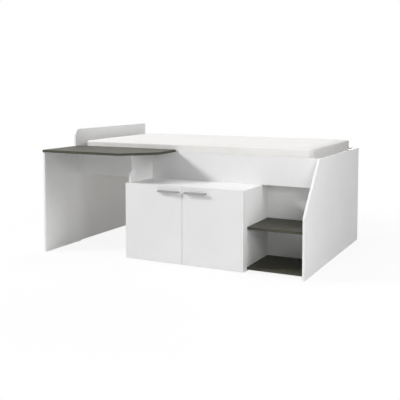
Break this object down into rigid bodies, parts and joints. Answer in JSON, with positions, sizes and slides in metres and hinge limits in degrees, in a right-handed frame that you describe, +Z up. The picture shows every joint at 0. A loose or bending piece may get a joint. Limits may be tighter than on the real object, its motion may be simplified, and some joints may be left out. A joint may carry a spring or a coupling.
{
  "type": "cabin bed",
  "caption": "Raised single cabin bed of white board with a fixed graphite desk, a cupboard with hinged doors, open step shelves at the foot end and a thin mattress on slats.",
  "frame": {"origin": "on the floor, in the middle of the outer box", "axes": "+X along the bed from the headboard to the foot, +Y from the desk side to the back, +Z up"},
  "size_m": [2.04, 1.493, 0.915],
  "materials": {
    "glide_plastic": "matte",
    "graphite_board": "matte graphite laminate",
    "handle_metal": "brushed",
    "hardboard": "white painted hardboard",
    "hardware_steel": "zinc plated",
    "mattress": "knitted cover",
    "pine": "planed, unpainted",
    "tape": "woven tape",
    "white_board": "satin white laminate"
  },
  "bodies": {
    "bed": {"back_ledger": "pine", "back_rail": "white_board", "cam_bolts": "hardware_steel", "cam_discs": "hardware_steel", "cupboard_back": "hardboard", "cupboard_bottom": "white_board", "cupboard_left_side": "white_board", "cupboard_right_side": "white_board", "cupboard_shelf": "white_board", "cupboard_top": "white_board", "desk_leg_panel": "white_board", "desk_support_panel": "white_board", "desktop": "graphite_board", "dowels": "pine", "floor_glides": "glide_plastic", "foot_panel": "white_board", "front_ledger": "pine", "front_rail": "white_board", "headboard_panel": "white_board", "ledger_screws": "hardware_steel", "left_hinge_arms": "hardware_steel", "left_hinge_plates": "hardware_steel", "left_plate_screws": "hardware_steel", "leg_screws": "hardware_steel", "lower_step": "graphite_board", "mattress": "mattress", "niche_back_panel": "white_board", "right_hinge_arms": "hardware_steel", "right_hinge_plates": "hardware_steel", "right_plate_screws": "hardware_steel", "shelf_pins": "hardware_steel", "slat_01": "pine", "slat_02": "pine", "slat_03": "pine", "slat_04": "pine", "slat_05": "pine", "slat_06": "pine", "slat_07": "pine", "slat_08": "pine", "slat_09": "pine", "slat_10": "pine", "slat_11": "pine", "slat_12": "pine", "slat_13": "pine", "slat_14": "pine", "slat_tapes": "tape", "upper_step": "graphite_board"},
    "left_door": {"left_door": "white_board", "left_handle": "handle_metal", "left_handle_screws": "hardware_steel", "left_hinge_cups": "hardware_steel", "left_hinge_pins": "hardware_steel", "left_cup_screws": "hardware_steel"},
    "right_door": {"right_door": "white_board", "right_handle": "handle_metal", "right_handle_screws": "hardware_steel", "right_hinge_cups": "hardware_steel", "right_hinge_pins": "hardware_steel", "right_cup_screws": "hardware_steel"}
  },
  "joints": [
    {"name": "left_door_hinge", "type": "hinge", "parent": "bed", "child": "left_door", "pos_m": [-0.332, -0.627, 0.2815], "axis": [0, 0, -1], "range_deg": [0, 95]},
    {"name": "right_door_hinge", "type": "hinge", "parent": "bed", "child": "right_door", "pos_m": [0.579, -0.627, 0.2815], "axis": [0, 0, 1], "range_deg": [0, 95]}
  ]
}
